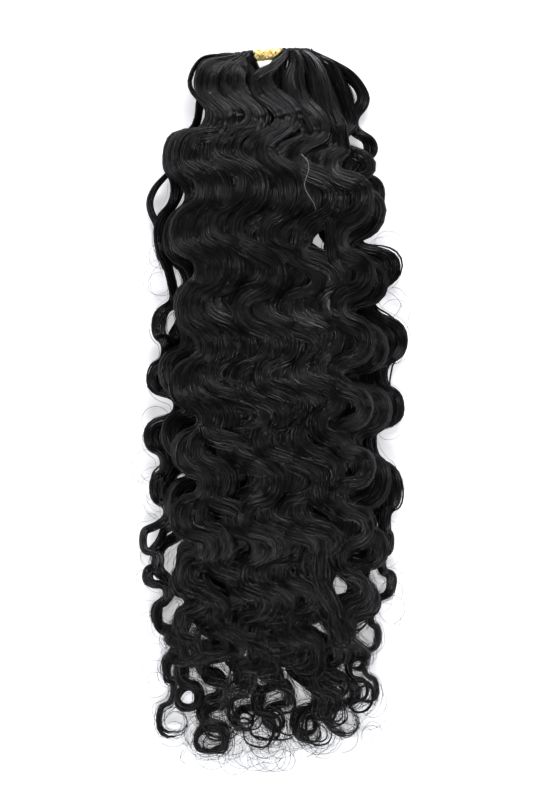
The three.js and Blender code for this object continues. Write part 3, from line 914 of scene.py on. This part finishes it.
def line_tree(name, sockets, amount):
    """A tree with these inputs, their identifiers, copies of its lines, and what the lines store."""
    tree = bpy.data.node_groups.new(name, "GeometryNodeTree")
    identifiers = {}
    for title, kind in sockets.items():
        socket = tree.interface.new_socket(title, in_out="INPUT", socket_type="NodeSocket" + kind)
        identifiers[title] = socket.identifier
    tree.interface.new_socket("Result", in_out="OUTPUT", socket_type="NodeSocketGeometry")
    given = add(tree, "NodeGroupInput").outputs
    curves = add(tree, "GeometryNodeMeshToCurve", {"Mesh": given["Lines"]})
    copies = add(tree, "GeometryNodeDuplicateElements", {
        "Geometry": curves, "Amount": given[amount],
    }, domain="SPLINE")
    stored = {}
    for key, kind in STORED.items():
        reader = add(tree, "GeometryNodeInputNamedAttribute", {"Name": key}, data_type=kind)
        stored[key] = reader.outputs["Attribute"]
    return tree, identifiers, given, copies, stored


def end_tree(tree, given, curve, sides, radius):
    """Gives curves round bodies with this many sides, makes them real and sets their finish."""
    circle = {"Resolution": sides, "Radius": 1.0}
    section = add(tree, "GeometryNodeCurvePrimitiveCircle", circle, mode="RADIUS")
    solid = add(tree, "GeometryNodeCurveToMesh", {
        "Curve": curve, "Profile Curve": section, "Scale": radius, "Fill Caps": True,
    })
    smooth = add(tree, "GeometryNodeSetShadeSmooth", {"Geometry": solid, "Shade Smooth": True})
    real = add(tree, "GeometryNodeRealizeInstances", {"Geometry": smooth})
    finish = add(tree, "GeometryNodeSetMaterial", {"Geometry": real, "Material": given["Finish"]})
    add(tree, "NodeGroupOutput", (finish,))


print("stored on the lines", list(STORED))

# %% [markdown]
# The fibre tree moves every copy to its own place round the lock, lets it wind slowly, shakes it with
# noise, keeps it above the table, cuts it to its own stretch of the line and gives it a thin three-sided
# body. More shake and a shorter stretch make frayed ends and strays. Real fibres are under 0.1 mm thick,
# and these are drawn 0.2 to 0.34 mm thick, so that they show.

# %% The fibre tree
FIBRE_SOCKETS = {
    "Lines": "Geometry", "Fibres": "Int", "Fibre radius": "Float", "Closeness": "Float", "Shake": "Float",
    "First start": "Float", "Last start": "Float", "Stretch": "Float", "Seed": "Int", "Finish": "Material",
}
DRAWN = {
    # drawn for each fibre: lowest, highest
    "winding": (0.0, 90.0), "place": (-1.0, 1.0), "reach": (0.84, 1.14), "shake_y": (0.0, 90.0),
    "shake_z": (0.0, 90.0), "start": (0.0, 1.0), "tone": (0.0, 1.0), "thickness": (0.6, 1.3),
    "stop": (0.93, 1.0),
}
WINDS_PER_METRE, SHAKES_PER_METRE = 16.0, 38.0


def fibre_tree():
    """Copies every line of the input, spreads the copies round it and gives them bodies."""
    tree, identifiers, given, copies, stored = line_tree("fibres_along_locks", FIBRE_SOCKETS, "Fibres")
    index = add(tree, "GeometryNodeInputIndex")
    fibre = add(tree, "GeometryNodeFieldOnDomain", {"Value": index}, data_type="INT", domain="CURVE")
    drawn = {}
    for turn, (what, (low, high)) in enumerate(DRAWN.items(), 1):
        seed = add(tree, MATH, (given["Seed"], float(turn)), operation="ADD")
        value = add(tree, "FunctionNodeRandomValue", {2: low, 3: high, "ID": fibre, "Seed": seed})
        drawn[what] = value.outputs[1]

    wound = add(tree, MATH, (stored["length"], WINDS_PER_METRE), operation="MULTIPLY")
    slow = add(tree, "ShaderNodeCombineXYZ", {"X": wound, "Y": drawn["winding"]})
    migrate = add(tree, "ShaderNodeTexNoise", {"Vector": slow, "Scale": 1.0, "Detail": 0.0}).outputs["Fac"]
    wind = add(tree, MATH, (migrate, 2.2, -1.1), operation="MULTIPLY_ADD")
    fixed = add(tree, MATH, (drawn["place"],), operation="ARCCOSINE")
    angle = add(tree, MATH, (fixed, wind), operation="ADD")
    reach = add(tree, MATH, (given["Closeness"], drawn["reach"]), operation="MULTIPLY")
    half_reach = add(tree, MATH, (reach, 0.5), operation="MULTIPLY")
    place = add(tree, "GeometryNodeInputPosition")
    for axis, size, wave in (("side", "width", "COSINE"), ("up", "thick", "SINE")):
        turned = add(tree, MATH, (angle,), operation=wave)
        sized = add(tree, MATH, (turned, stored[size]), operation="MULTIPLY")
        out = add(tree, MATH, (sized, half_reach), operation="MULTIPLY")
        offset = add(tree, VECTOR, {0: stored[axis], "Scale": out}, operation="SCALE")
        place = add(tree, VECTOR, (place, offset), operation="ADD")

    share = add(tree, "GeometryNodeSplineParameter").outputs["Factor"]
    shaken = add(tree, MATH, (stored["length"], SHAKES_PER_METRE), operation="MULTIPLY")
    spot = add(tree, "ShaderNodeCombineXYZ", {"X": shaken, "Y": drawn["shake_y"], "Z": drawn["shake_z"]})
    noise = add(tree, "ShaderNodeTexNoise", {"Vector": spot, "Scale": 1.0, "Detail": 1.0}).outputs["Color"]
    centred = add(tree, VECTOR, (noise, (0.5, 0.5, 0.5)), operation="SUBTRACT")
    evenly = add(tree, MATH, (share, 0.7, 0.3), operation="MULTIPLY_ADD")
    at_tip = add(tree, MATH, (share, 4.0), operation="POWER")
    loosen = add(tree, MATH, (at_tip, 4.4, evenly), operation="MULTIPLY_ADD")
    shake = add(tree, MATH, (given["Shake"], loosen), operation="MULTIPLY")
    strayed = add(tree, VECTOR, {0: centred, "Scale": shake}, operation="SCALE")
    free = add(tree, VECTOR, (place, strayed), operation="ADD")
    parts = add(tree, "ShaderNodeSeparateXYZ", (free,)).outputs
    floor = add(tree, MATH, (given["Fibre radius"], 1.5), operation="MULTIPLY")
    above = add(tree, MATH, (parts["Z"], floor), operation="MAXIMUM")
    lifted = add(tree, "ShaderNodeCombineXYZ", {"X": parts["X"], "Y": parts["Y"], "Z": above})
    moved = add(tree, "GeometryNodeSetPosition", {"Geometry": copies, "Position": lifted})

    span = add(tree, MATH, (given["Last start"], given["First start"]), operation="SUBTRACT")
    begin = add(tree, MATH, (drawn["start"], span, given["First start"]), operation="MULTIPLY_ADD")
    reached = add(tree, MATH, (begin, given["Stretch"]), operation="ADD")
    stop = add(tree, MATH, (reached, drawn["stop"]), operation="MINIMUM")
    cut = add(tree, "GeometryNodeTrimCurve", {"Curve": moved, 2: begin, 3: stop})
    toned = add(tree, "GeometryNodeStoreNamedAttribute", {
        "Geometry": cut, "Name": "tone", "Value": drawn["tone"],
    }, data_type="FLOAT", domain="POINT")
    tip = add(tree, "ShaderNodeMapRange", {
        "Value": share, "From Min": 0.75, "From Max": 1.0, "To Min": 1.0, "To Max": 0.4,
    })
    thin = add(tree, MATH, (drawn["thickness"], tip), operation="MULTIPLY")
    radius = add(tree, MATH, (given["Fibre radius"], thin), operation="MULTIPLY")
    end_tree(tree, given, toned, 3, radius)
    return tree, identifiers


FIBRES = fibre_tree()
print("fibre tree nodes", len(FIBRES[0].nodes))

# %% [markdown]
# Each strand gets three growths: fibres laid on its locks, frayed ends, and a few strays. The edge strands
# have more strays, and longer ones.

# %% Grow the fibres
LAID = {"Fibre radius": 0.17 * MM, "Closeness": 1.0, "Shake": 1.5 * MM, "Stretch": 1.0}
FRAYED = {
    "Fibres": 9, "Fibre radius": 0.13 * MM, "Closeness": 1.35, "Shake": 3.4 * MM, "First start": 0.72,
    "Last start": 0.86, "Stretch": 0.4,
}
STRAY = {
    "Fibre radius": 0.12 * MM, "Closeness": 1.4, "Shake": 9.0 * MM, "First start": 0.1, "Last start": 0.7,
}
STRAY_INSIDE, STRAY_EDGE = {"Fibres": 2, "Stretch": 0.15}, {"Fibres": 5, "Stretch": 0.2}
SEED_STEP = 20


def grown(lines, kind, inputs):
    """The tree's result on these lines, as a plain mesh object."""
    tree, identifiers = kind
    modifier = lines.modifiers.new("grow", "NODES")
    modifier.node_group = tree
    for title, value in inputs.items():
        modifier[identifiers[title]] = value
    depsgraph = bpy.context.evaluated_depsgraph_get()
    mesh = bpy.data.meshes.new_from_object(lines.evaluated_get(depsgraph))
    lines.modifiers.remove(modifier)
    piece = bpy.data.objects.new(lines.name + "_grown", mesh)
    scene.collection.objects.link(piece)
    return piece


def joined(pieces, name):
    """One mesh object from several."""
    first = pieces[0]
    chosen = {
        "active_object": first, "object": first,
        "selected_objects": pieces, "selected_editable_objects": pieces,
    }
    with bpy.context.temp_override(**chosen):
        bpy.ops.object.join()
    first.name = name
    first.data.name = name
    return first


def grow_on(name, family, growths, finish):
    """Grows fibres along these lines, once for each growth, and joins them to the strand's body."""
    lines = guide_lines(name + "_lines", family)
    pieces = [grown(lines, FIBRES, {**growth, "Finish": finish}) for growth in growths]
    made = sum(triangles(piece) for piece in pieces)
    bodies[name] = joined([bodies[name], *pieces], name + "_hair")
    bpy.data.objects.remove(lines)
    return made


def without_loop(guide):
    """A lock's line from the end of its loop on, for the fibres."""
    return SimpleNamespace(points=guide.points[LOOP_STATIONS:],
                           **{key: getattr(guide, key)[LOOP_STATIONS:] for key in STORED})


fibre_total = 0
for order, (name, strand) in enumerate(STRANDS.items()):
    seed = SEED_STEP * order
    seen = {"Fibres": strand.fibres, "First start": strand.seen, "Last start": strand.seen, "Seed": seed}
    stray = {**STRAY, **(STRAY_EDGE if name in EDGES else STRAY_INSIDE), "Seed": seed + 15}
    growths = ({**LAID, **seen}, {**FRAYED, "Seed": seed + 10}, stray)
    fibre_total += grow_on(name, [without_loop(g) for g in guides[name]], growths, FIBRE_HAIR)
print("fibre triangles", fibre_total, "largest strand", max(triangles(p) for p in bodies.values()))

# %% [markdown]
# Single hairs work loose at the tips and along the edges, and lie on the table in faint rings. They are
# arcs round points near the bottom strands, and go through the same tree.

# %% Loose hairs on the table
LOOSE_HAIRS = {
    # strand: how many, then the box they lie in: low x, high x, low y, high y
    "strand_b1": (26, -68, -58, -170, 90), "strand_b2": (18, -56, -28, -199, -174),
    "strand_b3": (44, -22, 8, -199, -183), "strand_b4": (14, 8, 34, -196, -174),
    "strand_b5": (16, 30, 62, -190, -160), "strand_b6": (24, 60, 68, -165, 90),
}
LOOSE_STATIONS = 22
SINGLE = {"Fibres": 1, "Closeness": 1.0, "First start": 0.0, "Last start": 0.0, "Stretch": 1.0}
LOOSE = {**SINGLE, "Fibre radius": 0.12 * MM, "Shake": 0.6 * MM}
LOOSE_SEED = 900


def single_hair(points):
    """A line for one hair: it has no lock to lie on."""
    thin = np.full(len(points), 0.05)
    return guide_of(points, thin, thin)


def loose_hairs(count, low_x, high_x, low_y, high_y):
    """Arcs of single hairs whose middles lie in a box, as lines for the fibre tree."""
    family = []
    for _ in range(count):
        middle = np.array([rng.uniform(low_x, high_x), rng.uniform(low_y, high_y)])
        turn = rng.uniform(0, 2 * np.pi) + np.linspace(0, rng.uniform(2.2, 7.5), LOOSE_STATIONS)
        radius = rng.uniform(4, 10) * (1 + 0.25 * np.sin(1.3 * turn + rng.uniform(0, 6)))
        height = rng.uniform(0.3, 2.5) + 0.3 * np.sin(turn)
        arc = middle + radius[:, None] * np.column_stack([np.cos(turn), np.sin(turn)])
        family.append(single_hair(np.column_stack([arc, height]) + SHIFT))
    return family


for order, (name, row) in enumerate(LOOSE_HAIRS.items()):
    grow_on(name, loose_hairs(*row), ({**LOOSE, "Seed": LOOSE_SEED + order},), FIBRE_HAIR)
print("loose hairs", sum(row[0] for row in LOOSE_HAIRS.values()))

# %% [markdown]
# One lighter hair lies on top, right of the middle. Its line is given point by point.

# %% The tan hair
TAN_HAIR = fibre_hair("tan_stray_hair", ((0.0, "#cfc3b3"), (1.0, "#ddd3c6")))
TAN_LINE = np.array([
    (15.9, 133.3, 33), (19.5, 130, 35), (20.5, 124.9, 36), (18.4, 119.8, 36), (17.4, 115.6, 36),
    (20, 110.4, 36), (23, 106.3, 36), (24.1, 101.9, 35),
])
TAN_STATIONS = 36
tan_hair = single_hair(smooth_line(TAN_LINE, TAN_STATIONS, 6))
tan_growth = {**SINGLE, "Fibre radius": 0.1 * MM, "Shake": 0.1 * MM, "Seed": 990}
grow_on("strand_t4", [tan_hair], (tan_growth,), TAN_HAIR)
print("tan hair, mm long", tan_hair.length[-1].round(1))

# %% [markdown]
# The tie is a gold satin cord. Its plies are warm yellow, mottled with painted shade in orange and painted
# highlight in nearly white, scattered at random rather than where plies shade each other or shine. The
# mottling is about 1.7 mm across, the size of the cord's own turns.


# %% Gold cord finish
def gold_cord():
    """Gold tie cord: warm yellow plies mottled with orange painted shade and near-white painted highlight,
    and a soft satin shine.
    """
    material, tree = new_material("gold_tie_cord_painted_shine_and_shade")
    place = add(tree, "ShaderNodeTexCoord").outputs["Object"]
    # mottling noise: in the colour it paints shade and highlight; in roughness and bump it is the plies'
    # own texture
    ply_mottle_and_painted_light = add(tree, "ShaderNodeTexNoise", {
        "Vector": place, "Scale": 600.0, "Detail": 2.0, "Roughness": 0.5,
    }).outputs["Fac"]
    # colour stops: orange is painted shade, near white is painted highlight, warm yellow between
    stops = ((0.24, "#eb9c20"), (0.38, "#ffd44e"), (0.64, "#fff4b6"))
    skin = add(tree, "ShaderNodeBsdfPrincipled", {
        "Base Color": add(tree, "ShaderNodeValToRGB", {"Fac": ply_mottle_and_painted_light}, stops=stops),
        "Roughness": add(tree, "ShaderNodeMapRange", {"Value": ply_mottle_and_painted_light, "To Min": 0.3, "To Max": 0.55}),
        "Normal": add(tree, "ShaderNodeBump", {"Height": ply_mottle_and_painted_light, "Strength": 0.2, "Distance": 0.0002}),
        "Specular IOR Level": 0.6, "Sheen Weight": 0.2,
    })
    add(tree, "ShaderNodeOutputMaterial", {"Surface": skin})
    return material


GOLD_CORD = gold_cord()
print("tie finish", GOLD_CORD.name)

# %% [markdown]
# The cord is made of plies twisted together. That is a rule along a path too, so a second tree lays them:
# each keeps a fixed share of a turn from the last one, and all turn together along the line.

# %% The cord tree
CORD_SOCKETS = {
    "Lines": "Geometry", "Plies": "Int", "Ply radius": "Float", "Lay radius": "Float",
    "Turns per metre": "Float", "Finish": "Material",
}


def cord_tree():
    """Copies the input lines once for each ply, and twists the copies round them."""
    tree, identifiers, given, copies, stored = line_tree("plies_along_cord", CORD_SOCKETS, "Plies")
    share = add(tree, MATH, (copies.outputs["Duplicate Index"], given["Plies"]), operation="DIVIDE")
    turned = (stored["length"], given["Turns per metre"], share)
    turns = add(tree, MATH, turned, operation="MULTIPLY_ADD")
    angle = add(tree, MATH, (turns, 2 * math.pi), operation="MULTIPLY")
    moved = copies
    for axis, wave in (("side", "COSINE"), ("up", "SINE")):
        turned = add(tree, MATH, (angle,), operation=wave)
        out = add(tree, MATH, (turned, given["Lay radius"]), operation="MULTIPLY")
        offset = add(tree, VECTOR, {0: stored[axis], "Scale": out}, operation="SCALE")
        moved = add(tree, "GeometryNodeSetPosition", {"Geometry": moved, "Offset": offset})
    end_tree(tree, given, moved, 8, given["Ply radius"])
    return tree, identifiers


CORD = cord_tree()
print("cord tree nodes", len(CORD[0].nodes))

# %% [markdown]
# The tie is one long ring of three plies, whose two runs lie side by side. More cord of two plies is wound
# round both runs in the middle, where it shows between the loops: two lengths that cross, and one nearly
# straight on top. Its turns are long and a little uneven, as when it is wound by hand.

# %% Lay the tie
RUN_OFFSET, CORD_RADIUS, RUN_STATIONS, END_STATIONS = 1.8, 0.9, 40, 14
RING_TURN_LENGTH = 5.0
WINDINGS = (
    # turns, half width across, half height, angle it starts at, stations
    (4.5, 2.2, 1.6, 0.4, 120), (-2.5, 2.4, 2.1, 2.0, 80), (0.5, 1.1, 2.0, 0.9, 50),
)
WRAP_SPAN, WRAP_ACROSS = 14.8, 0.6
ACROSS_TIE = np.array([-TIE_DIRECTION[1], TIE_DIRECTION[0], 0.0])
UPWARD = np.array([0.0, 0.0, 1.0])


def cord_line(points, up):
    """A line for the cord tree from points in mm and one up direction at each."""
    tangent = unit(np.gradient(points, axis=0))
    side = unit(np.cross(up, tangent))
    size = np.ones(len(points))
    up = np.cross(tangent, side)
    return SimpleNamespace(points=points + SHIFT, side=side, up=up, width=size, thick=size,
                           length=run_of(points))


def winding(turns, across_size, height, lead, stations):
    """A line wound round both runs of the tie, a little unevenly."""
    wound = np.linspace(0, 1, stations)
    around = 2 * np.pi * turns * wound + lead
    out = across_size * np.cos(around)[:, None] * ACROSS_TIE + height * np.sin(around)[:, None] * UPWARD
    out *= (1 + 0.1 * np.sin(around * 0.37 + 1))[:, None]
    along_tie = (wound - 0.5) * WRAP_SPAN + 0.5 * np.sin(around * 0.5)
    return cord_line(on_tie(along_tie, WRAP_ACROSS, TIE.z) + out, unit(out))


bend = TIE.half - RUN_OFFSET - CORD_RADIUS / 2
runs = np.linspace(-bend, bend, RUN_STATIONS)
turns = np.radians(np.linspace(-90, 90, END_STATIONS))[1:-1]
end_along, end_across = bend + RUN_OFFSET * np.cos(turns), RUN_OFFSET * np.sin(turns)
run_across = np.full(RUN_STATIONS, RUN_OFFSET)
ring_along = np.concatenate([runs, end_along, runs[::-1], -end_along, runs[:1]])
ring_across = np.concatenate([-run_across, end_across, run_across, -end_across, -run_across[:1]])
ring_points = on_tie(ring_along, ring_across, TIE.z)
ring = cord_line(ring_points, np.tile(UPWARD, (len(ring_points), 1)))
ring_length = ring.length[-1]
wrap = [winding(*row) for row in WINDINGS]
print("ring, mm round", ring_length.round(1), "windings, mm", [w.length[-1].round(1) for w in wrap])

# %% [markdown]
# The ring takes a whole number of turns, so that its plies meet where it closes. The two cords then become
# one piece, which takes the place of the tie's solid.

# %% Twist the tie
ring_cord = {
    "Plies": 3, "Ply radius": 0.46 * MM, "Lay radius": 0.46 * MM,
    "Turns per metre": round(ring_length / RING_TURN_LENGTH) / (ring_length * MM), "Finish": GOLD_CORD,
}
wrap_cord = {
    "Plies": 2, "Ply radius": 0.62 * MM, "Lay radius": 0.45 * MM, "Turns per metre": 180.0,
    "Finish": GOLD_CORD,
}
tie_pieces = []
for name, family, cord in (("tie_ring", [ring], ring_cord), ("tie_wrap", wrap, wrap_cord)):
    lines = guide_lines(name, family)
    tie_pieces.append(grown(lines, CORD, cord))
    bpy.data.objects.remove(lines)
tie_cord = joined(tie_pieces, "tie_gold_cord")
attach(tie_cord, "root")
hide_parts("tie")
print("tie triangles", triangles(tie_cord))

# %% [markdown]
# Each strand of hair takes the place of its own solid. Nothing moves on a joint, so all of it rides on the
# root. The hair isn't a cord, and the tie is a closed ring held by the loops, so neither is declared soft.

# %% Hang the hair on the frame
for name, piece in bodies.items():
    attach(piece, "root")
    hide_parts(name)
print("strands dressed", len(bodies))
